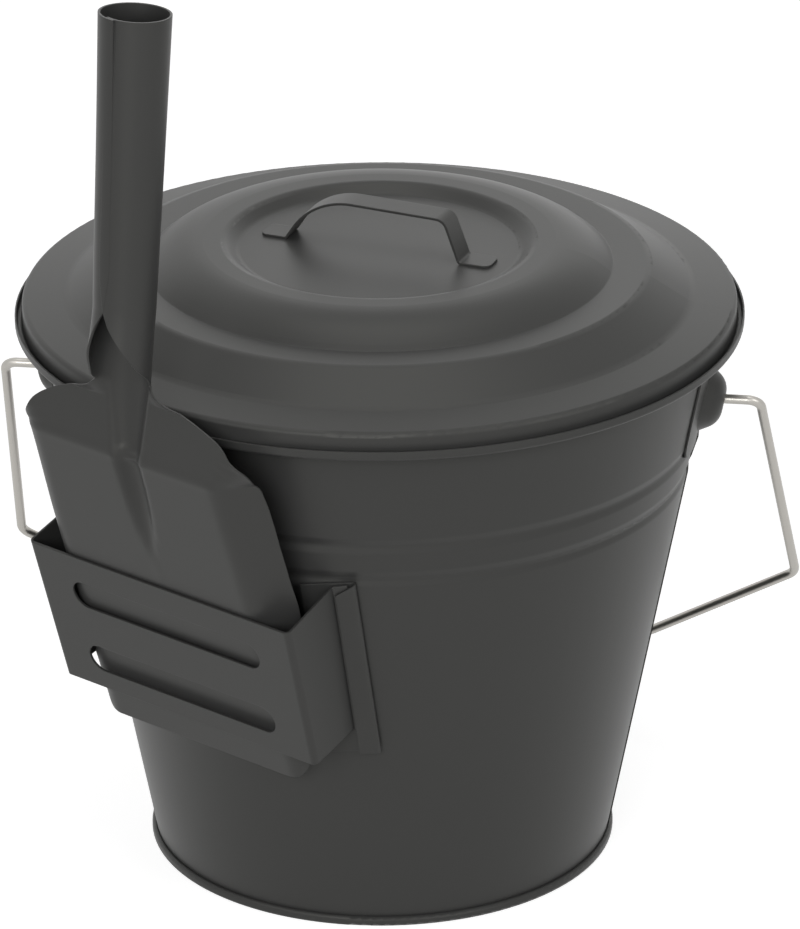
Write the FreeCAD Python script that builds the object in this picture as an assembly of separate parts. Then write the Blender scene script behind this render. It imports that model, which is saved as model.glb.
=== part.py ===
import FreeCAD, Part
import math
import os
from FreeCAD import Vector

# Ash bucket with a loose lid, a wire bail and a hand shovel standing in a holder on the wall.
# Millimetres. The origin is the middle of the base on the floor. X runs through the two ears,
# Y points to the back and Z points up.

# Shared fits
fit_gap = 0.1                 # paint gap between sheets that are welded or folded together
running_gap = 0.3             # gap between pieces that can be moved apart
cut_overrun = 5.0             # how far cutting shapes reach past what they cut
least_run = 0.001             # straight runs shorter than this are left out of an outline

# Bucket body
base_radius = 95.0            # outside of the wall at the floor
mouth_radius = 142.1          # outside of the wall at the height of the rim
bucket_height = 243.0         # floor to the top of the rim
wall_sheet = 0.7
rim_curl = 4.4                # thickness of the curled rim
rim_tail_share = 1.4          # length of the last turn of the curl, in curl radii
groove_drop = 55.8            # rim to the upper groove
groove_pitch = 15.5           # upper groove to the lower groove
groove_width = 7.2
groove_depth = 1.0
groove_bend = 4.0
lap_width = 7.0               # side seam, where the ends of the rolled sheet overlap
lap_turn = 2.4                # degrees from the right ear to the edge of the seam
lap_bite_share = 0.85         # share of the sheet that the overlap stands out
lap_flare = 1.1               # how far its top end is bent away from the wall

# Bucket bottom, folded round the lower edge of the wall
bottom_sheet = 0.7
bottom_rise = 6.0             # floor to the underside of the bottom
hem_stand = 2.0               # how far the folded hem stands out from the wall
hem_height = 4.2
hem_bend = 1.1

# Ears
ear_sheet = 0.8
pivot_drop = 39.4             # rim to the bail's axis
ear_half_width = 26.0
ear_top_drop = 17.0           # rim to the top of the ear plate
ear_low_drop = 59.0           # rim to the bottom of the ear plate
ear_corner = 10.0
dome_radius = 15.0
dome_height = 8.8
dome_flat_share = 0.56        # flat of the dome, as a share of its radius
dome_bend = 8.5
dome_root = 1.6               # how far the dome reaches in to meet the curved plate

# Bail
wire_diameter = 4.0
bail_arm = 23.5               # wall to the corner of the bail, along the axis
bail_splay = 9.5              # how far the legs spread
bail_leg = 133.0              # axis to the end of the legs
bail_reach = 190.0            # axis to the cross bar
bar_half = 100.5              # half the length of the cross bar
hook_stand = 4.5              # wall to the hooked end inside the ear
hook_length = 4.8
hook_bend = 2.6
arm_bend = 5.5
leg_bend = 8.0
bar_bend = 12.0

# Lid
lid_sheet = 0.7
lid_clearance = 0.9           # rim to the inside of the skirt
lid_rise = 23.6               # edge of the brim to the top of the dome
skirt_height = 10.4           # edge of the brim to the bottom of the hem
lid_hem_width = 3.1
lid_hem_height = 3.8
lid_hem_bend = 1.2
brim_edge_bend = 1.8
# Corners of the lid from its middle to the edge of the brim: radius share, height share, bend
recess_floor = (0.398, 0.84)
recess_lip = (0.434, 1.0)
dome_shoulder = (0.576, 1.0)
dome_foot = (0.653, 0.58)
ring_edge = (0.756, 0.58)
slope_foot = (0.877, 0.11)
recess_bend = 4.0
lip_bend = 5.0
shoulder_bend = 32.0
dome_foot_bend = 1.0
ring_bend = 5.0
slope_bend = 8.0

# Strap handle on the lid
strap_sheet = 1.0
strap_width = 12.0
strap_height = 19.2           # underside of the strap above the lid
strap_margin = 7.8            # end of a foot to the edge of the recess
strap_turn = -14.0            # degrees from the ears
strap_corner = 3.0
# Places of the bends along the strap, as shares of its half length
left_foot_share = -0.775
left_shoulder_share = -0.525
right_shoulder_share = 0.605
right_foot_share = 0.737
right_drop_share = 0.93       # height of the right shoulder
strap_foot_bend = 1.5
left_shoulder_bend = 30.0
right_shoulder_bend = 5.0

# Shovel holder and the two rails that it slides in
holder_turn = 32.6            # degrees from the front towards the left ear
holder_sheet = 1.0
holder_drop = 84.6            # rim to the top of the front plate
holder_height = 68.2          # front plate, along its slope
holder_open = 2.2             # degrees between the front plate and the blade behind it
holder_stand = 12.7           # wall to the top of the front plate
holder_half_top = 70.3
holder_half_low = 68.2
holder_top_lean = 3.7         # degrees by which the sides rise to the wall
holder_bend = 2.0
flange_bend = 1.0
flange_width = 6.4
slot_half = 50.8
slot_height = 13.0
upper_slot_drop = 19.4        # top of the plate to the middle of the upper slot
lower_slot_drop = 52.5
rail_sheet = 0.8
rail_top_drop = 71.2          # rim to the top of the rails
rail_length = 83.6
rail_inner = 13.0             # base of the rail inside the line of the holder's side
rail_outer = 9.4              # base of the rail outside that line
rail_lip = 1.0                # line of the holder's side to the free edge of the rail
rail_lip_cut = 4.7            # slanted top of the free edge
rail_inset = 2.4              # rails inside the corners of the front plate
rail_clearance = 0.3

# Shovel, one sheet: a blade with turned sides, a trough, and a rolled handle
shovel_sheet = 1.0
tip_height = 78.0
blade_length = 151.0          # tip to the crease, along the blade
tip_half = 57.0
tip_corner = 10.0
blade_half = 69.8             # half the width of the sheet, measured round the bend
wing_start = 46.3             # middle of the blade to the bend of the turned side
wing_top = 55.0               # the same, where the turned side ends in the shoulder
wing_turn = 32.0
wing_bend = 12.0
wing_full_share = 0.56        # share of the blade where the sides reach their full width
trough_start_share = 0.66     # share of the blade where the trough begins
trough_radius = 7.5           # at the crease; it widens to the radius of the handle
trough_turn = 57.0
neck_turn = 48.0              # where the trough meets the neck
trough_return = 2.0
handle_offset = 2.3           # the trough and the handle stand to the right of the blade's middle
handle_lean = 5.3             # degrees that the handle leans back over the bucket
handle_side_lean = 0.55       # degrees that the handle leans to the left
shoulder_length = 31.0        # crease to the neck
neck_length = 33.5            # neck to the closed handle
handle_length = 121.5         # closed handle
handle_stand = 4.6            # axis of the handle in front of the shoulders
handle_radius_low = 12.15
handle_radius_top = 14.0
seam_overlap = 10.0           # degrees by which the rolled edges overlap
seam_step = 0.29              # half the difference of the two rolled radii

# The shoulders' outline: share of the shoulder length, shares of the sheet's half width right and left
shoulder_shares = ((0.0, 0.96, 0.935), (0.14, 0.92, 0.875), (0.28, 0.865, 0.825), (0.41, 0.82, 0.775),
                   (0.52, 0.785, 0.735), (0.62, 0.7, 0.65), (0.72, 0.575, 0.54), (0.82, 0.405, 0.395),
                   (0.9, 0.28, 0.28), (1.0, 0.2, 0.2))
wing_end_share = 0.41         # share of the shoulder length where the turned sides end
# The neck rolls up, its left edge sooner: share of the neck length, shares of a half turn right and left
neck_shares = ((0.1, 0.36, 0.52), (0.2, 0.48, 0.66), (0.32, 0.61, 0.73), (0.52, 0.74, 0.77),
               (0.7, 0.84, 0.83), (0.86, 0.93, 0.91), (1.0, 0.99, 0.985))
lap_shares = (0.05, 0.12, 1.0)    # along the closed handle; the overlap is full at the second

# Worked out from the sizes above
wall_slope = (mouth_radius - base_radius) / bucket_height
wall_angle = math.atan(wall_slope)
wall_across = wall_sheet / math.cos(wall_angle)
pivot_height = bucket_height - pivot_drop
curl_radius = (rim_curl - wall_sheet) / 2
wire_radius = wire_diameter / 2
axis_z = Vector(0, 0, 1)
plane_side = Vector(0, 1, 0)
centre = Vector(0, 0, 0)


def wall_radius(height):
    # outside of the wall
    return base_radius + wall_slope * height


def wall_middle(height):
    # middle of the wall's sheet, in the XZ plane
    return Vector(wall_radius(height) - wall_across / 2, 0, height)


def rounded_path(corners, bends, side):
    # straight runs and arcs: points at the start, middle and end of each, with the sheet's normals there
    pieces = []
    start = corners[0]
    for before, corner, after, bend in zip(corners, corners[1:], corners[2:], bends):
        incoming = (corner - before).normalize()
        outgoing = (after - corner).normalize()
        half_turn = incoming.getAngle(outgoing) / 2
        setback = bend * math.tan(half_turn)
        inward = (outgoing - incoming).normalize()
        arc_start = corner - incoming * setback
        arc_end = corner + outgoing * setback
        arc_middle = corner + inward * (bend / math.cos(half_turn) - bend)
        normal_in = side.cross(incoming)
        normal_out = side.cross(outgoing)
        normal_middle = (normal_in + normal_out).normalize()
        pieces.append(((start, None, arc_start), (normal_in, None, normal_in)))
        pieces.append(((arc_start, arc_middle, arc_end), (normal_in, normal_middle, normal_out)))
        start = arc_end
    last = side.cross((corners[-1] - corners[-2]).normalize())
    pieces.append(((start, None, corners[-1]), (last, None, last)))
    return [piece for piece in pieces if piece[0][0].distanceToPoint(piece[0][2]) > least_run]


def path_edges(pieces, offset=0.0):
    edges = []
    for (start, middle, end), (at_start, at_middle, at_end) in pieces:
        first = start + at_start * offset
        final = end + at_end * offset
        if middle is None:
            edges.append(Part.LineSegment(first, final).toShape())
        else:
            edges.append(Part.Arc(first, middle + at_middle * offset, final).toShape())
    return edges


def sheet_wire(corners, bends, sheet, side=plane_side):
    # outline of a bent sheet seen on its edge
    pieces = rounded_path(corners, bends, side)
    left = path_edges(pieces, sheet / 2)
    right = path_edges(pieces, -sheet / 2)
    (start, _, _), (at_start, _, _) = pieces[0]
    (_, _, end), (_, _, at_end) = pieces[-1]
    first_cap = Part.LineSegment(start - at_start * (sheet / 2), start + at_start * (sheet / 2)).toShape()
    last_cap = Part.LineSegment(end + at_end * (sheet / 2), end - at_end * (sheet / 2)).toShape()
    return Part.Wire(left + [last_cap] + right[::-1] + [first_cap])


def sheet_ring(corners, bends, sheet):
    # a bent sheet turned round the bucket's axis
    return Part.Face(sheet_wire(corners, bends, sheet)).revolve(centre, axis_z, 360)


def rounded_prism(corners, bends, side, depth):
    # an outline with rounded corners, closed by a straight side where its ends are apart
    edges = path_edges(rounded_path(corners, bends, side))
    if corners[0].distanceToPoint(corners[-1]) > least_run:
        edges.append(Part.LineSegment(corners[-1], corners[0]).toShape())
    return Part.Face(Part.Wire(edges)).extrude(depth)


def wall_cone(stand):
    # everything inside a cone that stands out from the wall by this much
    across = stand / math.cos(wall_angle)
    return Part.makeCone(base_radius + across, mouth_radius + across, bucket_height)


def groove_corners(shift=0.0):
    # the two grooves round the wall, from below
    corners = []
    for height in (bucket_height - groove_drop - groove_pitch, bucket_height - groove_drop):
        low = wall_middle(height - groove_width / 2)
        deep = wall_middle(height) - Vector(groove_depth, 0, 0)
        high = wall_middle(height + groove_width / 2)
        corners += [corner + Vector(shift, 0, 0) for corner in (low, deep, high)]
    return corners


def rim_corner():
    return wall_middle(bucket_height - wall_sheet / 2)


def make_bucket_body():
    top = rim_corner()
    curl = 2 * curl_radius
    rim = [top, top + Vector(curl, 0, 0), top + Vector(curl, 0, -curl),
           top + Vector(curl - curl_radius * rim_tail_share, 0, -curl)]
    grooves = groove_corners()
    corners = [wall_middle(bottom_sheet + hem_bend)] + grooves + rim
    bends = [groove_bend] * len(grooves) + [curl_radius] * 3
    wall = sheet_ring(corners, bends, wall_sheet)
    # the overlap of the side seam, from the hem to the ear
    shift = wall_across * lap_bite_share
    low = wall_middle(hem_height + running_gap) + Vector(shift, 0, 0)
    high = wall_middle(bucket_height - ear_low_drop - running_gap) + Vector(shift + lap_flare, 0, 0)
    upper = bucket_height - groove_drop - groove_width
    bent = [corner for corner in groove_corners(shift) if corner.z < upper]
    lap_face = Part.Face(sheet_wire([low] + bent + [high], [groove_bend] * len(bent), wall_sheet))
    lap = lap_face.revolve(centre, axis_z, math.degrees(lap_width / wall_radius(pivot_height)))
    lap.rotate(centre, axis_z, lap_turn)
    return wall.fuse(lap)


def make_rim_wire():
    middle = rim_corner() + Vector(curl_radius, 0, -curl_radius)
    return Part.makeTorus(middle.x, curl_radius - wall_sheet / 2 - running_gap, Vector(0, 0, middle.z))


def make_bucket_bottom():
    inside = (wall_sheet / 2 + fit_gap + bottom_sheet / 2) / math.cos(wall_angle)
    disc_height = bottom_rise + bottom_sheet / 2
    floor = bottom_sheet / 2
    hem_line = base_radius + hem_stand + bottom_sheet / 2
    hem_top = hem_height - bottom_sheet / 2
    tuck = wall_radius(hem_top + bottom_sheet / 2) + fit_gap
    corners = [Vector(0, 0, disc_height),
               wall_middle(disc_height) - Vector(inside, 0, 0),
               wall_middle(floor) - Vector(inside, 0, 0),
               Vector(hem_line, 0, floor),
               Vector(hem_line, 0, hem_top),
               Vector(tuck, 0, hem_top)]
    return sheet_ring(corners, [hem_bend] * (len(corners) - 2), bottom_sheet)


def make_right_ear():
    # plate that follows the wall
    stand = Vector((fit_gap + ear_sheet / 2 + wall_sheet / 2) / math.cos(wall_angle), 0, 0)
    low = bucket_height - ear_low_drop
    high = bucket_height - ear_top_drop
    half_angle = math.degrees(math.asin(ear_half_width / wall_radius(pivot_height)))
    strip = Part.Face(sheet_wire([wall_middle(low) + stand, wall_middle(high) + stand], [], ear_sheet))
    strip.rotate(centre, axis_z, -half_angle)
    band = strip.revolve(centre, axis_z, 2 * half_angle)
    start = base_radius / 2
    half = ear_half_width
    outline = [Vector(start, half, high + cut_overrun), Vector(start, half, low),
               Vector(start, -half, low), Vector(start, -half, high + cut_overrun)]
    block = rounded_prism(outline, [ear_corner, ear_corner], Vector(1, 0, 0), Vector(mouth_radius, 0, 0))
    plate = band.common(block)
    # dome pressed out of the plate, square to the wall
    dome_corners = [Vector(0, 0, dome_height - ear_sheet / 2),
                    Vector(dome_radius * dome_flat_share, 0, dome_height - ear_sheet / 2),
                    Vector(dome_radius, 0, -dome_root)]
    dome = sheet_ring(dome_corners, [dome_bend], ear_sheet)
    hollow = Part.makeCylinder(dome_radius - 2 * ear_sheet, dome_height, Vector(0, 0, -dome_height / 2))
    seat = Vector(wall_radius(pivot_height), 0, pivot_height)
    for shape in (dome, hollow):
        shape.rotate(centre, plane_side, 90 + math.degrees(wall_angle))
        shape.translate(seat)
    # the root of the dome ends in the middle of the plate's sheet
    ear = plate.cut(hollow).fuse(dome.cut(wall_cone(fit_gap + ear_sheet / 2)))
    hole_radius = wire_radius + running_gap
    hole = Part.makeCylinder(hole_radius, mouth_radius, seat, Vector(1, 0, 0))
    return ear.cut(hole).removeSplitter()


def bail_tilt():
    # angle from straight down at which the cross bar rests against the back of the wall
    reach = wall_radius(pivot_height) + (wire_radius + running_gap) / math.cos(wall_angle)
    return math.asin(reach / bail_reach * math.cos(wall_angle)) - wall_angle


def make_bail():
    tilt = bail_tilt()
    down = Vector(0, math.sin(tilt), -math.cos(tilt))
    pivot = Vector(0, 0, pivot_height)
    wall = wall_radius(pivot_height)
    right = [(wall + hook_stand, -hook_length), (wall + hook_stand, 0), (wall + bail_arm, 0),
             (wall + bail_arm + bail_splay, bail_leg), (bar_half, bail_reach)]
    left = [(-along, away) for along, away in reversed(right)]
    corners = [pivot + Vector(along, 0, 0) + down * away for along, away in right + left]
    bends = [hook_bend, arm_bend, leg_bend, bar_bend]
    path = Part.Wire(path_edges(rounded_path(corners, bends + bends[::-1], plane_side)))
    start = (corners[1] - corners[0]).normalize()
    section = Part.Wire(Part.makeCircle(wire_radius, corners[0], start))
    return path.makePipeShell([section], True, False)


def rim_outside():
    return rim_corner().x + 2 * curl_radius + wall_sheet / 2


def skirt_line():
    # middle of the skirt's sheet
    return rim_outside() + lid_clearance + lid_sheet / 2


def brim_height():
    # edge of the brim, with the brim seated just above the rim
    contact = rim_corner().x + curl_radius
    slope = lid_rise * slope_foot[1] / (skirt_line() * (1 - slope_foot[0]))
    lift = (running_gap + lid_sheet / 2) / math.cos(math.atan(slope))
    return bucket_height + lift - slope * (skirt_line() - contact)


def lid_corner(shares):
    radius_share, height_share = shares
    return Vector(skirt_line() * radius_share, 0, brim_height() + lid_rise * height_share)


def recess_top():
    return lid_corner(recess_floor).z + lid_sheet / 2


def make_lid():
    edge = brim_height()
    hem_low = edge - skirt_height + lid_sheet / 2
    hem_line = skirt_line() + lid_hem_width
    corners = [Vector(0, 0, lid_corner(recess_floor).z)]
    corners += [lid_corner(shares) for shares in
                (recess_floor, recess_lip, dome_shoulder, dome_foot, ring_edge, slope_foot)]
    corners += [Vector(skirt_line(), 0, edge), Vector(skirt_line(), 0, hem_low),
                Vector(hem_line, 0, hem_low), Vector(hem_line, 0, hem_low + lid_hem_height)]
    bends = [recess_bend, lip_bend, shoulder_bend, dome_foot_bend, ring_bend, slope_bend,
             brim_edge_bend, lid_hem_bend, lid_hem_bend]
    return sheet_ring(corners, bends, lid_sheet)


def make_lid_handle():
    half = lid_corner(recess_floor).x - strap_margin
    floor = recess_top() + strap_sheet / 2
    high = floor + strap_height
    corners = [Vector(-half, 0, floor),
               Vector(half * left_foot_share, 0, floor),
               Vector(half * left_shoulder_share, 0, high),
               Vector(half * right_shoulder_share, 0, floor + strap_height * right_drop_share),
               Vector(half * right_foot_share, 0, floor),
               Vector(half, 0, floor)]
    bends = [strap_foot_bend, left_shoulder_bend, right_shoulder_bend, strap_foot_bend]
    strap = Part.Face(sheet_wire(corners, bends, strap_sheet)).extrude(Vector(0, strap_width, 0))
    strap.translate(Vector(0, -strap_width / 2, 0))
    wide = strap_width / 2
    outline = [Vector(0, -wide, floor - cut_overrun), Vector(half, -wide, floor - cut_overrun),
               Vector(half, wide, floor - cut_overrun), Vector(-half, wide, floor - cut_overrun),
               Vector(-half, -wide, floor - cut_overrun), Vector(0, -wide, floor - cut_overrun)]
    block = rounded_prism(outline, [strap_corner] * 4, axis_z, Vector(0, 0, strap_height + 2 * cut_overrun))
    strap = strap.common(block)
    strap.rotate(centre, axis_z, strap_turn)
    return strap


# The holder, its rails and the shovel are made facing the front (-Y) and then turned to their place.

def face_holder_way(shape):
    turned = shape.copy()
    turned.rotate(centre, axis_z, -holder_turn)
    return turned


def on_wall(sideways, height):
    return Vector(sideways, -math.sqrt(wall_radius(height) ** 2 - sideways ** 2), height)


def blade_line(crown):
    # foot and tilt of the blade, which stands against the wall and leans on the top of the front plate
    wall = Vector(0, -wall_radius(tip_height), tip_height)
    from_wall = running_gap + shovel_sheet / 2
    from_plate = running_gap + (shovel_sheet + holder_sheet) / 2
    apart = crown - wall
    tilt = math.atan2(-apart.y, apart.z) - math.asin((from_wall + from_plate) / apart.Length)
    return wall + Vector(0, -math.cos(tilt), -math.sin(tilt)) * from_wall, tilt


holder_top = bucket_height - holder_drop
holder_crown = Vector(0, -wall_radius(holder_top) - holder_stand, holder_top)
blade_foot, blade_tilt = blade_line(holder_crown)
holder_tilt = blade_tilt - math.radians(holder_open)
holder_slope = Vector(0, -math.sin(holder_tilt), math.cos(holder_tilt))
holder_out = Vector(0, -math.cos(holder_tilt), -math.sin(holder_tilt))
holder_foot = holder_crown - holder_slope * holder_height
rail_top = bucket_height - rail_top_drop
rail_foot = on_wall(holder_half_low - rail_inset, rail_top - rail_length)
rail_along = (on_wall(holder_half_top - rail_inset, rail_top) - rail_foot).normalize()
rail_middle = on_wall((holder_half_low + holder_half_top) / 2 - rail_inset, rail_top - rail_length / 2)
rail_normal_guess = Vector(rail_middle.x, rail_middle.y, -wall_slope * wall_radius(rail_middle.z))
rail_across = rail_along.cross(rail_normal_guess).normalize()
rail_normal = rail_across.cross(rail_along).normalize()
rail_base_line = fit_gap + rail_sheet / 2
flange_line = fit_gap + rail_sheet + rail_clearance + holder_sheet / 2
rail_front_line = flange_line + holder_sheet / 2 + rail_clearance + rail_sheet / 2


def make_right_rail():
    def corner(across, out):
        return rail_foot + rail_across * across + rail_normal * out
    corners = [corner(-rail_inner, rail_base_line), corner(rail_outer, rail_base_line),
               corner(rail_outer, rail_front_line), corner(rail_lip, rail_front_line)]
    fold = (rail_front_line - rail_base_line) / 2
    face = Part.Face(sheet_wire(corners, [fold, fold], rail_sheet, rail_along))
    rail = face.extrude(rail_along * rail_length).cut(wall_cone(fit_gap))
    # slanted top of the free edge
    front = rail_front_line - (rail_sheet + rail_clearance) / 2
    start = rail_lip - cut_overrun
    drop = rail_lip_cut * (rail_outer - start) / (rail_outer - rail_lip)
    outline = [corner(start, front) + rail_along * (rail_length - drop),
               corner(rail_outer, front) + rail_along * rail_length,
               corner(rail_outer, front) + rail_along * (rail_length + cut_overrun),
               corner(start, front) + rail_along * (rail_length + cut_overrun)]
    return rail.cut(Part.Face(Part.makePolygon(outline + outline[:1])).extrude(rail_normal * cut_overrun))


def holder_section(distance, half, top_lean):
    # a cut across the holder, from one flange round to the other
    plate = holder_foot + holder_slope * distance
    tilt = holder_tilt + math.radians(top_lean)
    square = Vector(0, -math.sin(tilt), math.cos(tilt))

    def flange(across):
        start = rail_foot + rail_across * across + rail_normal * flange_line
        along = (plate - start).dot(square) / rail_along.dot(square)
        return start + rail_along * along
    right = [flange(flange_width), flange(0), plate + Vector(half, 0, 0)]
    left = [Vector(-corner.x, corner.y, corner.z) for corner in reversed(right)]
    bends = [flange_bend, holder_bend, holder_bend, flange_bend]
    return sheet_wire(right + left, bends, holder_sheet, square)


def make_shovel_holder():
    low = holder_section(0, holder_half_low, 0)
    high = holder_section(holder_height, holder_half_top, holder_top_lean)
    holder = Part.makeLoft([low, high], True, True)
    radius = slot_height / 2
    for drop in (upper_slot_drop, lower_slot_drop):
        middle = holder_crown - holder_slope * drop - holder_out * cut_overrun
        rise = holder_slope * radius
        reach = Vector(slot_half, 0, 0)
        outline = [middle - rise, middle - rise + reach, middle + rise + reach,
                   middle + rise - reach, middle - rise - reach, middle - rise]
        holder = holder.cut(rounded_prism(outline, [radius] * 4, holder_out, holder_out * (2 * cut_overrun)))
    return holder


section_points = 16           # points along half of each section of the shovel
section_steps = 10            # steps of the sum between two points
same_way = 1                  # a ruled face follows both of its edges in their own direction


def bent_half(half_width, bends):
    # points of half a sheet from its middle, each with its direction; a bend is (start, radius, turn)
    across = 0.0
    out = 0.0
    points = [(0.0, 0.0, 0.0)]
    stride = half_width / (section_points * section_steps)
    for index in range(section_points * section_steps):
        along = (index + 0.5) * stride
        angle = 0.0
        for start, radius, turn in bends:
            passed = min(max((along - start) / (radius * abs(turn)), 0), 1)
            angle += turn * passed
        across += stride * math.cos(angle)
        out += stride * math.sin(angle)
        if (index + 1) % section_steps == 0:
            points.append((across, out, angle))
    return points


def shovel_section(origin, tilt, depth, right_half, left_half):
    # the sheet across the shovel, with its middle sunk by depth: front, right edge, back and left edge;
    # each half is its width and its bends
    out = Vector(0, -math.cos(tilt), -math.sin(tilt))
    right = bent_half(*right_half)
    left = bent_half(*left_half)
    row = [(-across, rise, -angle) for across, rise, angle in left[:0:-1]] + right

    def face_points(offset):
        return [origin + Vector(across - math.sin(angle) * offset, 0, 0)
                + out * (rise - depth + math.cos(angle) * offset) for across, rise, angle in row]

    def face_edge(points):
        curve = Part.BSplineCurve()
        curve.interpolate(points)
        return curve.toShape()
    front = face_points(shovel_sheet / 2)
    back = face_points(-shovel_sheet / 2)
    return [face_edge(front), Part.LineSegment(front[-1], back[-1]).toShape(),
            face_edge(back), Part.LineSegment(front[0], back[0]).toShape()]


def joined_sections(sections):
    # a solid through the sections, with straight lines from each to the next
    faces = [Part.Face(Part.Wire(Part.__sortEdges__(sections[0]))),
             Part.Face(Part.Wire(Part.__sortEdges__(sections[-1])))]
    for low, high in zip(sections, sections[1:]):
        faces += [Part.makeRuledSurface(edge, above, same_way) for edge, above in zip(low, high)]
    shell = Part.makeShell(faces)
    shell.sewShape()
    solid = Part.makeSolid(shell)
    if solid.Volume < 0:
        solid.reverse()
    return solid


def trough_bends(radius, turn):
    if turn == 0:
        return []
    return [(0, radius, turn), (radius * turn, trough_return, -turn)]


def trough_depth(radius, turn):
    return (radius + trough_return) * (1 - math.cos(turn))


def blade_halves(right, left, start, bends, shift):
    # the two halves of the blade, when the trough stands to the right of the blade's middle
    turn = math.radians(wing_turn)
    return ((right - shift, bends + [(start - shift, wing_bend, -turn)]),
            (left + shift, bends + [(start + shift, wing_bend, -turn)]))


tip_corner_shares = (0.0, 0.12, 0.45, 1.0)        # along the rounded corner of the tip
# Along the blade: share of its length, shares of the sheet's half width right and left
blade_shares = ((0.2, 1.0, 1.0), (0.36, 1.0, 1.0), (0.56, 1.0, 1.0), (0.66, 1.0, 0.992), (0.71, 1.0, 0.985),
                (0.78, 1.0, 0.977), (0.86, 0.999, 0.965), (0.93, 0.99, 0.953), (0.98, 0.972, 0.941))


def make_shovel():
    foot = blade_foot + Vector(handle_offset, 0, 0)
    tilt = blade_tilt
    lean = -math.radians(handle_lean)
    blade_way = Vector(0, -math.sin(tilt), math.cos(tilt))
    handle_way = Vector(-math.tan(math.radians(handle_side_lean)), -math.sin(lean), math.cos(lean))
    full_turn = math.radians(trough_turn)
    sections = []
    # rounded tip
    for share in tip_corner_shares:
        along = tip_corner * share
        inset = tip_corner - math.sqrt(tip_corner ** 2 - (tip_corner - along) ** 2)
        halves = blade_halves(tip_half - inset, tip_half - inset, wing_start, [], handle_offset)
        sections.append(shovel_section(foot + blade_way * along, tilt, 0, *halves))
    # blade, with its sides turned in and the trough growing out of its middle
    for share, right_share, left_share in blade_shares:
        grown = min(share / wing_full_share, 1)
        sunk = max(share - trough_start_share, 0) / (1 - trough_start_share)
        turn = full_turn * math.sin(sunk * math.pi / 2)
        half_width = tip_half + (blade_half - tip_half) * grown
        halves = blade_halves(half_width * right_share, half_width * left_share, wing_start,
                              trough_bends(trough_radius, turn), handle_offset)
        sections.append(shovel_section(foot + blade_way * (blade_length * share), tilt,
                                       trough_depth(trough_radius, turn), *halves))
    # shoulders above the crease, where the trough widens to the handle
    crease = foot + blade_way * blade_length
    for share, right_share, left_share in shoulder_shares:
        angle = (tilt + lean) / 2 if share == 0 else lean
        radius = trough_radius + (handle_radius_low - trough_radius) * share
        turn = full_turn + (math.radians(neck_turn) - full_turn) * share
        bends = trough_bends(radius, turn)
        halves = ((blade_half * right_share, bends), (blade_half * left_share, bends))
        if share < wing_end_share:
            ended = share / wing_end_share
            start = wing_start + (wing_top - wing_start) * ended
            halves = blade_halves(blade_half * right_share, blade_half * left_share, start, bends,
                                  handle_offset * (1 - ended))
        sections.append(shovel_section(crease + handle_way * (shoulder_length * share), angle,
                                       trough_depth(radius, turn), *halves))
    # the neck rolls up round the axis of the handle, with its middle moving back
    neck = crease + handle_way * shoulder_length
    low_depth = trough_depth(handle_radius_low, math.radians(neck_turn))
    for share, right_share, left_share in neck_shares:
        depth = low_depth + (handle_radius_low - handle_stand - low_depth) * share
        halves = [(handle_radius_low * math.pi * turn_share, [(0, handle_radius_low, math.pi * turn_share)])
                  for turn_share in (right_share, left_share)]
        sections.append(shovel_section(neck + handle_way * (neck_length * share), lean, depth, *halves))
    # closed handle: the left edge grows to lie over the right edge
    grip = neck + handle_way * neck_length
    for share in lap_shares:
        lapped = min(share / lap_shares[1], 1)
        radius = handle_radius_low + (handle_radius_top - handle_radius_low) * share
        turn = math.pi + math.radians(seam_overlap) * (2 * lapped - 1)
        step = seam_step * lapped
        halves = [(radius * turn, [(0, rolled, turn)]) for rolled in (radius - step, radius + step)]
        sections.append(shovel_section(grip + handle_way * (handle_length * share), lean,
                                       radius - handle_stand, *halves))
    return joined_sections(sections)


def mirrored(shape):
    return shape.mirror(centre, Vector(1, 0, 0))


def half_turned(shape):
    turned = shape.copy()
    turned.rotate(centre, axis_z, 180)
    return turned


right_ear = make_right_ear()
right_rail = make_right_rail()
nodes = {
    "bucket_body": make_bucket_body(),
    "rim_wire": make_rim_wire(),
    "bucket_bottom": make_bucket_bottom(),
    "right_ear": right_ear,
    "left_ear": half_turned(right_ear),
    "bail": make_bail(),
    "lid": make_lid(),
    "lid_handle": make_lid_handle(),
    "right_rail": face_holder_way(right_rail),
    "left_rail": face_holder_way(mirrored(right_rail)),
    "shovel_holder": face_holder_way(make_shovel_holder()),
    "shovel": face_holder_way(make_shovel()),
}

os.makedirs("parts", exist_ok=True)
for name, shape in nodes.items():
    shape.exportStep("parts/" + name + ".step")
    box = shape.BoundBox
    print(name, "valid", shape.isValid(), "solids", len(shape.Solids), "volume %.0f" % shape.Volume,
          "x %.1f %.1f y %.1f %.1f z %.1f %.1f" % (box.XMin, box.XMax, box.YMin, box.YMax, box.ZMin, box.ZMax))
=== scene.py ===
import math
import bpy
from mathutils import Matrix, Vector


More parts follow.
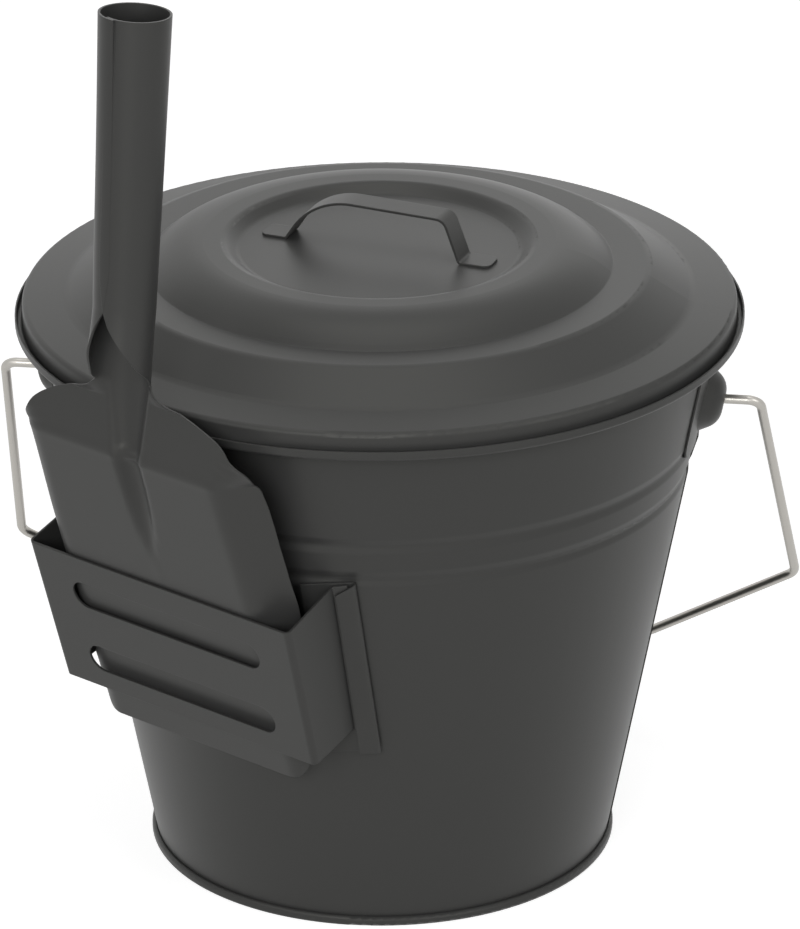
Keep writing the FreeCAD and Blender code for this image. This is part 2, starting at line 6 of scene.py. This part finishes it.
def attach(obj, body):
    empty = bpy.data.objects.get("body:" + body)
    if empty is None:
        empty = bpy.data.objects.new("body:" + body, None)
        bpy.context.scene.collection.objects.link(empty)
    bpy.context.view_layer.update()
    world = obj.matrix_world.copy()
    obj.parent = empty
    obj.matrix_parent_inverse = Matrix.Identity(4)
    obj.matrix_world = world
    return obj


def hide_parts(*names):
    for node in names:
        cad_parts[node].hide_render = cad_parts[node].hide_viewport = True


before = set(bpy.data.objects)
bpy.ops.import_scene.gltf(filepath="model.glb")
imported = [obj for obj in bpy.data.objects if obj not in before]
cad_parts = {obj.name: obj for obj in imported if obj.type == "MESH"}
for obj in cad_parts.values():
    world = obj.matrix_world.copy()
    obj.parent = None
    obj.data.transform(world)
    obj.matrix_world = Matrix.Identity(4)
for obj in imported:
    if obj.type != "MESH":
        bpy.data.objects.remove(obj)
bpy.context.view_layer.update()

coatSet = {
    "colour": (0.057, 0.057, 0.056),
    "roughness": 0.42,
    "specular": 0.25,
    "glossTint": (1.0, 1.0, 0.92),
    "grainSize": 900.0,             # bumps per metre
    "grainDetail": 2.0,
    "grainBump": 0.05,
    "grainHeight": 0.0002,
    "edgeRadius": 0.0006,           # how softly the coat runs over cut edges
    "edgeSamples": 4,
}


def makeGrainGroup():
    group = bpy.data.node_groups.new("coatGrain", "ShaderNodeTree")
    group.interface.new_socket("Scale", in_out="INPUT", socket_type="NodeSocketFloat")
    group.interface.new_socket("Height", in_out="OUTPUT", socket_type="NodeSocketFloat")
    start = group.nodes.new("NodeGroupInput")
    end = group.nodes.new("NodeGroupOutput")
    place = group.nodes.new("ShaderNodeTexCoord")
    fine = group.nodes.new("ShaderNodeTexNoise")
    fine.inputs["Detail"].default_value = coatSet["grainDetail"]
    group.links.new(place.outputs["Object"], fine.inputs["Vector"])
    group.links.new(start.outputs["Scale"], fine.inputs["Scale"])
    group.links.new(fine.outputs["Fac"], end.inputs["Height"])
    return group


def makeCoat():
    material = bpy.data.materials.new("greyCoat")
    material.use_nodes = True
    tree = material.node_tree
    shader = tree.nodes["Principled BSDF"]
    shader.inputs["Base Color"].default_value = (*coatSet["colour"], 1)
    shader.inputs["Roughness"].default_value = coatSet["roughness"]
    shader.inputs["Specular IOR Level"].default_value = coatSet["specular"]
    shader.inputs["Specular Tint"].default_value = (*coatSet["glossTint"], 1)
    grain = tree.nodes.new("ShaderNodeGroup")
    grain.node_tree = makeGrainGroup()
    grain.inputs["Scale"].default_value = coatSet["grainSize"]
    edge = tree.nodes.new("ShaderNodeBevel")
    edge.samples = coatSet["edgeSamples"]
    edge.inputs["Radius"].default_value = coatSet["edgeRadius"]
    bump = tree.nodes.new("ShaderNodeBump")
    bump.inputs["Strength"].default_value = coatSet["grainBump"]
    bump.inputs["Distance"].default_value = coatSet["grainHeight"]
    tree.links.new(grain.outputs["Height"], bump.inputs["Height"])
    tree.links.new(edge.outputs["Normal"], bump.inputs["Normal"])
    tree.links.new(bump.outputs["Normal"], shader.inputs["Normal"])
    return material


zincSet = {
    "colour": (0.43, 0.415, 0.385),
    "roughness": 0.36,
    "pieces": ("bail", "rim_wire"),  # what is bare wire, all else is coated
}


def makeZinc():
    material = bpy.data.materials.new("zincWire")
    material.use_nodes = True
    shader = material.node_tree.nodes["Principled BSDF"]
    shader.inputs["Base Color"].default_value = (*zincSet["colour"], 1)
    shader.inputs["Metallic"].default_value = 1.0
    shader.inputs["Roughness"].default_value = zincSet["roughness"]
    return material


coat = makeCoat()
zinc = makeZinc()
for name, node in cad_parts.items():
    node.data.materials.clear()
    node.data.materials.append(zinc if name in zincSet["pieces"] else coat)
print("materials done")

# The shovel's sheet, in metres and degrees; widths are measured along the sheet
shovelSet = {
    "facing": 32.6,                 # from the front towards the left ear
    "tipRadius": 0.110879,          # middle of the tip from the bucket's axis
    "tipHeight": 0.077753,
    "sheet": 0.001,
    "bladeTilt": 17.969,
    "bladeLength": 0.151,
    "tipHalf": 0.057,
    "tipCorner": 0.010,
    "tipShares": (0.0, 0.04, 0.12, 0.25, 0.45, 0.7, 1.0),
    "bladeHalf": 0.0698,
    # share of the blade, shares of the half width right and left
    "bladeShares": ((0.2, 1.0, 1.0), (0.36, 1.0, 1.0), (0.56, 0.994, 1.0), (0.66, 0.987, 0.992),
                    (0.71, 0.987, 0.985), (0.78, 0.988, 0.977), (0.86, 0.992, 0.965), (0.93, 0.987, 0.953),
                    (0.98, 0.965, 0.938)),
    "wingStart": 0.0463,            # from the blade's middle to the bend of its sides
    "wingTop": 0.055,               # the same where the bend runs out
    "wingTurn": 46.0,
    "wingBend": 0.012,
    "wingFull": 0.56,               # share of the blade where the sides reach their full width
    "wingEnd": 0.41,                # share of the shoulder where the bend has run out
    "troughStart": 0.66,            # share of the blade
    "troughRise": 0.75,             # how bluntly the trough starts, 1 is a long point
    "troughRadius": 0.0075,
    "troughTurn": 57.0,
    "troughReturn": 0.002,          # radius of the bend from the trough to the sheet beside it
    "handleOffset": 0.0023,         # trough and handle right of the blade's middle
    "handleLean": 5.3,
    "sideLean": 0.55,
    "shoulderLength": 0.031,
    # share of the shoulder, shares of the half width right and left
    "shoulderShares": ((0.0, 0.96, 0.925), (0.14, 0.945, 0.847), (0.28, 0.905, 0.792), (0.38, 0.84, 0.77),
                       (0.46, 0.785, 0.738), (0.54, 0.755, 0.69), (0.62, 0.71, 0.628), (0.72, 0.605, 0.53),
                       (0.82, 0.475, 0.4), (0.9, 0.345, 0.31), (1.0, 0.25, 0.265)),
    "rightFlank": (0.86, 1.1),      # shares of the shoulder between which the sheet beside the trough rises
    "leftFlank": (0.78, 1.02),
    "neckLength": 0.0335,
    "neckTurn": 48.0,               # turn of the trough at the foot of the neck
    "neckFlare": 0.14,              # share by which the foot of the neck is wider than its top
    # share of the neck, shares of a half turn right and left
    "neckShares": ((0.1, 0.29, 0.5), (0.2, 0.4, 0.55), (0.32, 0.545, 0.62), (0.52, 0.715, 0.74),
                   (0.7, 0.835, 0.83), (0.86, 0.932, 0.91), (1.0, 0.995, 0.99)),
    "handleLength": 0.1215,
    "handleStand": 0.0046,          # axis of the handle in front of the sheet
    "radiusLow": 0.01215,
    "radiusTop": 0.0140,
    "seamOverlap": 10.0,
    "lapEnd": 0.12,                 # share of the handle where the edges lap fully
    # share of the handle, half the step between the lapped edges
    "lapShares": ((0.05, 0.00002), (0.12, 0.00003), (0.34, 0.00003), (0.56, 0.00005), (0.78, 0.00014),
                  (1.0, 0.00029)),
    "wrinkleHeight": 0.001,         # two pressed wrinkles across the trough at the crease
    "wrinkleWidth": 0.0013,
    "wrinkleHalf": 0.005,
    "wrinklePlaces": (0.003, -0.0008),
    "halfPoints": 44,               # points across half the sheet
    "bendSteps": 8,                 # steps from one point to the next along a bend
    "closerSteps": 4,               # sections for each share of the waist and the neck
    "rowSteps": 4,                  # rows from one section to the next
    "sharpAngle": 50.0,
}
tiny = 1e-9                         # keeps a length of nothing from dividing


def bentHalf(halfWidth, bends):
    # half a sheet from its middle: across, out and direction; a bend is start, radius, turn
    steps = shovelSet["bendSteps"]
    count = shovelSet["halfPoints"] * steps
    stride = halfWidth / count
    across = 0.0
    out = 0.0
    points = [(0.0, 0.0, 0.0)]
    for index in range(count):
        along = (index + 0.5) * stride
        angle = 0.0
        for start, radius, turn in bends:
            angle += turn * min(max((along - start) / (radius * abs(turn)), 0), 1)
        across += stride * math.cos(angle)
        out += stride * math.sin(angle)
        if (index + 1) % steps == 0:
            points.append((across, out, angle))
    return points


def shovelSection(origin, tilt, depth, rightHalf, leftHalf):
    # front points from the left edge to the right, then back points
    outward = Vector((0, -math.cos(tilt), -math.sin(tilt)))
    right = bentHalf(*rightHalf)
    left = bentHalf(*leftHalf)
    row = [(-across, rise, -angle) for across, rise, angle in left[:0:-1]] + right
    section = []
    for offset in (shovelSet["sheet"] / 2, -shovelSet["sheet"] / 2):
        section.append([origin + Vector((across - math.sin(angle) * offset, 0, 0))
                        + outward * (rise - depth + math.cos(angle) * offset)
                        for across, rise, angle in row])
    return section[0] + section[1][::-1]


def troughBends(radius, turn, returned=1.0):
    # the round of the trough, and the bend back to the sheet beside it
    if turn == 0:
        return []
    return [(0, radius, turn), (radius * turn, shovelSet["troughReturn"], -turn * returned)]


def troughDepth(radius, turn):
    return (radius + shovelSet["troughReturn"]) * (1 - math.cos(turn))


def bladeHalves(right, left, start, bends, shift, folded=1.0):
    # both halves of the blade with their sides turned in; shift is the trough's place beside the middle
    turn = math.radians(shovelSet["wingTurn"]) * folded
    wing = shovelSet["wingBend"]
    return ((right - shift, bends + [(start - shift, wing, -turn)]),
            (left + shift, bends + [(start + shift, wing, -turn)]))


def curvePoint(before, start, end, after, share):
    # between start and end, on a curve that heads for its neighbours without overshoot
    first = (start - before).length + tiny
    middle = (end - start).length + tiny
    last = (after - end).length + tiny
    slopeIn = ((start - before) / first * middle + (end - start) / middle * first) / (first + middle)
    slopeOut = ((end - start) / middle * last + (after - end) / last * middle) / (middle + last)
    square = share * share
    cube = square * share
    return (start * (2 * cube - 3 * square + 1) + slopeIn * middle * (cube - 2 * square + share)
            + end * (3 * square - 2 * cube) + slopeOut * middle * (cube - square))


def smoothRows(sections, steps):
    # a curve through each line of points
    rows = []
    last = len(sections) - 1
    for index in range(last):
        before = sections[max(index - 1, 0)]
        after = sections[min(index + 2, last)]
        for step in range(steps):
            rows.append([curvePoint(*points, step / steps)
                         for points in zip(before, sections[index], sections[index + 1], after)])
    rows.append(sections[last])
    return rows


def closerShares(shares):
    # the same run of shares in smaller steps
    rows = smoothRows([[Vector(row)] for row in shares], shovelSet["closerSteps"])
    return [tuple(row[0]) for row in rows]


def bladeSections(foot, way, tilt):
    sizes = shovelSet
    corner = sizes["tipCorner"]
    sections = []
    for share in sizes["tipShares"]:
        along = corner * share
        half = sizes["tipHalf"] - corner + math.sqrt(corner ** 2 - (corner - along) ** 2)
        halves = bladeHalves(half, half, sizes["wingStart"], [], sizes["handleOffset"])
        sections.append(shovelSection(foot + way * along, tilt, 0, *halves))
    for share, rightShare, leftShare in sizes["bladeShares"]:
        grown = min(share / sizes["wingFull"], 1)
        half = sizes["tipHalf"] + (sizes["bladeHalf"] - sizes["tipHalf"]) * grown
        sunk = max(share - sizes["troughStart"], 0) / (1 - sizes["troughStart"])
        turn = math.radians(sizes["troughTurn"]) * math.sin(sunk ** sizes["troughRise"] * math.pi / 2)
        halves = bladeHalves(half * rightShare, half * leftShare, sizes["wingStart"],
                             troughBends(sizes["troughRadius"], turn), sizes["handleOffset"])
        sections.append(shovelSection(foot + way * (sizes["bladeLength"] * share), tilt,
                                      troughDepth(sizes["troughRadius"], turn), *halves))
    return sections


def shoulderSections(crease, way, tilt, lean, flareRadius):
    # above the crease the sides run out and the trough widens to the neck
    sizes = shovelSet
    troughTurn = math.radians(sizes["troughTurn"])
    neckTurn = math.radians(sizes["neckTurn"])
    wide = [row for row in sizes["shoulderShares"] if row[0] < sizes["wingEnd"]]
    waist = [row for row in sizes["shoulderShares"] if row[0] > sizes["wingEnd"]]
    sections = []
    for share, rightShare, leftShare in wide + closerShares(waist):
        angle = (tilt + lean) / 2 if share == 0 else lean
        radius = sizes["troughRadius"] + (flareRadius - sizes["troughRadius"]) * share
        turn = troughTurn + (neckTurn - troughTurn) * share
        right = sizes["bladeHalf"] * rightShare
        left = sizes["bladeHalf"] * leftShare
        bends = [troughBends(radius, turn, min((end - share) / (end - start), 1))
                 for start, end in (sizes["rightFlank"], sizes["leftFlank"])]
        halves = ((right, bends[0]), (left, bends[1]))
        if share < sizes["wingEnd"]:
            ended = share / sizes["wingEnd"]
            start = sizes["wingStart"] + (sizes["wingTop"] - sizes["wingStart"]) * ended
            shift = sizes["handleOffset"] * (1 - ended)
            halves = bladeHalves(right, left, start, bends[0], shift, 1 - ended ** 2)
        sections.append(shovelSection(crease + way * (sizes["shoulderLength"] * share), angle,
                                      troughDepth(radius, turn), *halves))
    return sections


def handleSections(neck, way, lean, flareRadius):
    # the neck rolls up to a tube, whose left edge laps over the right one
    sizes = shovelSet
    lowDepth = troughDepth(flareRadius, math.radians(sizes["neckTurn"]))
    sections = []
    for share, rightShare, leftShare in closerShares(sizes["neckShares"]):
        depth = lowDepth + (sizes["radiusLow"] - sizes["handleStand"] - lowDepth) * share
        radius = sizes["radiusLow"] * (1 + sizes["neckFlare"] * (1 - share) ** 2)
        halves = [(radius * math.pi * turned, [(0, radius, math.pi * turned)])
                  for turned in (rightShare, leftShare)]
        sections.append(shovelSection(neck + way * (sizes["neckLength"] * share), lean, depth, *halves))
    grip = neck + way * sizes["neckLength"]
    for share, step in sizes["lapShares"]:
        radius = sizes["radiusLow"] + (sizes["radiusTop"] - sizes["radiusLow"]) * share
        turn = math.pi + math.radians(sizes["seamOverlap"]) * min(share / sizes["lapEnd"], 1)
        halves = [(radius * turn, [(0, rolled, turn)]) for rolled in (radius - step, radius + step)]
        sections.append(shovelSection(grip + way * (sizes["handleLength"] * share), lean,
                                      radius - sizes["handleStand"], *halves))
    return sections


def pressWrinkles(rows, crease):
    # small ridges over the bottom of the trough, where the sheet was bent at the crease
    sizes = shovelSet
    for row in rows:
        for point in row:
            across = (point.x - crease.x) / sizes["wrinkleHalf"]
            for place in sizes["wrinklePlaces"]:
                along = (point.z - crease.z - place) / sizes["wrinkleWidth"]
                point.y -= sizes["wrinkleHeight"] * math.exp(-across * across - along * along)


def shovelRows():
    sizes = shovelSet
    tilt = math.radians(sizes["bladeTilt"])
    lean = -math.radians(sizes["handleLean"])
    bladeWay = Vector((0, -math.sin(tilt), math.cos(tilt)))
    handleWay = Vector((-math.tan(math.radians(sizes["sideLean"])), -math.sin(lean), math.cos(lean)))
    foot = Vector((sizes["handleOffset"], -sizes["tipRadius"], sizes["tipHeight"]))
    crease = foot + bladeWay * sizes["bladeLength"]
    neck = crease + handleWay * sizes["shoulderLength"]
    flareRadius = sizes["radiusLow"] * (1 + sizes["neckFlare"])
    sections = bladeSections(foot, bladeWay, tilt)
    sections += shoulderSections(crease, handleWay, tilt, lean, flareRadius)
    sections += handleSections(neck, handleWay, lean, flareRadius)
    rows = smoothRows(sections, sizes["rowSteps"])
    pressWrinkles(rows, crease)
    return rows


def makeShovel():
    rows = shovelRows()
    across = len(rows[0])
    vertices = [point for row in rows for point in row]
    faces = []
    for index in range(len(rows) - 1):
        low = index * across
        for place in range(across):
            following = (place + 1) % across
            faces.append((low + place, low + following, low + across + following, low + across + place))
    top = (len(rows) - 1) * across
    for place in range(across // 2 - 1):
        mate = across - 1 - place
        faces.append((place + 1, place, mate, mate - 1))
        faces.append((top + place, top + place + 1, top + mate - 1, top + mate))
    mesh = bpy.data.meshes.new("shovelSheet")
    mesh.from_pydata(vertices, [], faces)
    mesh.transform(Matrix.Rotation(-math.radians(shovelSet["facing"]), 4, "Z"))
    mesh.shade_smooth()
    mesh.set_sharp_from_angle(angle=math.radians(shovelSet["sharpAngle"]))
    shovel = bpy.data.objects.new("shovelSheet", mesh)
    bpy.context.scene.collection.objects.link(shovel)
    mesh.materials.append(coat)
    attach(shovel, "shovel")
    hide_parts("shovel")


makeShovel()
print("shovel done")

stageSet = {
    "floorSize": 40.0,
    "floorColour": (0.5, 0.5, 0.5),
    "floorRoughness": 0.9,
    "floorGlow": 0.85,              # what the camera sees added to the floor
    "skyColour": (1.0, 1.0, 1.0),   # seen behind the object and in its gloss
}


def seenDirectly(tree):
    # 1 where the camera, a mirror-like surface or glass looks, 0 for plain light
    path = tree.nodes.new("ShaderNodeLightPath")
    first = tree.nodes.new("ShaderNodeMath")
    second = tree.nodes.new("ShaderNodeMath")
    first.operation = "ADD"
    second.operation = "ADD"
    second.use_clamp = True
    tree.links.new(path.outputs["Is Camera Ray"], first.inputs[0])
    tree.links.new(path.outputs["Is Glossy Ray"], first.inputs[1])
    tree.links.new(first.outputs[0], second.inputs[0])
    tree.links.new(path.outputs["Is Transmission Ray"], second.inputs[1])
    return second.outputs[0]


def makeFloor():
    bpy.ops.mesh.primitive_plane_add(size=stageSet["floorSize"], location=(0, 0, 0))
    floor = bpy.context.object
    floor.name = "floor"
    material = bpy.data.materials.new("floorPaint")
    material.use_nodes = True
    tree = material.node_tree
    shader = tree.nodes["Principled BSDF"]
    shader.inputs["Base Color"].default_value = (*stageSet["floorColour"], 1)
    shader.inputs["Roughness"].default_value = stageSet["floorRoughness"]
    shader.inputs["Emission Strength"].default_value = stageSet["floorGlow"]
    tree.links.new(seenDirectly(tree), shader.inputs["Emission Color"])
    floor.data.materials.append(material)


def makeSky():
    world = bpy.data.worlds.new("studio")
    bpy.context.scene.world = world
    world.use_nodes = True
    background = world.node_tree.nodes["Background"]
    background.inputs["Color"].default_value = (*stageSet["skyColour"], 1)
    world.node_tree.links.new(seenDirectly(world.node_tree), background.inputs["Strength"])


lampAim = (0.0, 0.0, 0.2)
lampSet = {                         # place, size, power
    "front": ((-0.3, -2.7, 1.2), 1.4, 27.0),
    "frontLeft": ((-1.6, -1.6, 1.4), 1.4, 5.0),
    "frontRight": ((1.8, -1.4, 1.4), 1.4, 14.0),
    "backLeft": ((-1.4, 1.8, 1.3), 1.4, 1.6),
    "top": ((0.0, 0.1, 2.4), 1.6, 11.7),
    "back": ((0.0, 2.3, 0.9), 1.6, 4.0),
}


def addLamp(name, place, size, power):
    lamp = bpy.data.lights.new(name, "AREA")
    lamp.shape = "DISK"
    lamp.size = size
    lamp.energy = power
    holder = bpy.data.objects.new(name, lamp)
    bpy.context.scene.collection.objects.link(holder)
    holder.location = place
    holder.rotation_euler = (Vector(lampAim) - Vector(place)).to_track_quat("-Z", "Y").to_euler()


makeFloor()
makeSky()
for name, (place, size, power) in lampSet.items():
    addLamp(name, place, size, power)
print("stage done")

cameraSet = {
    "turn": 8.3,                    # degrees round the bucket from the front
    "distance": 2.896,              # metres from the bucket's axis
    "height": 1.437,
    "pitch": 23.70,                 # degrees down
    "yaw": 0.16,
    "roll": -0.26,
    "lens": 294.5,
}


def makeCamera():
    pitch = math.radians(cameraSet["pitch"])
    yaw = math.radians(cameraSet["yaw"])
    forward = Vector((math.sin(yaw) * math.cos(pitch), math.cos(yaw) * math.cos(pitch), -math.sin(pitch)))
    right = forward.cross(Vector((0, 0, 1))).normalized()
    up = right.cross(forward)
    roll = math.radians(cameraSet["roll"])
    rolledRight = right * math.cos(roll) + up * math.sin(roll)
    rolledUp = up * math.cos(roll) - right * math.sin(roll)
    turn = Matrix.Rotation(math.radians(cameraSet["turn"]), 3, "Z")
    basis = Matrix((rolledRight, rolledUp, -forward)).transposed()
    matrix = (turn @ basis).to_4x4()
    matrix.translation = turn @ Vector((0, -cameraSet["distance"], cameraSet["height"]))
    camera = bpy.data.objects.new("camera", bpy.data.cameras.new("camera"))
    camera.data.lens = cameraSet["lens"]
    camera.matrix_world = matrix
    bpy.context.scene.collection.objects.link(camera)
    bpy.context.scene.camera = camera


makeCamera()
bpy.context.scene.view_settings.view_transform = "Standard"
print("camera done")
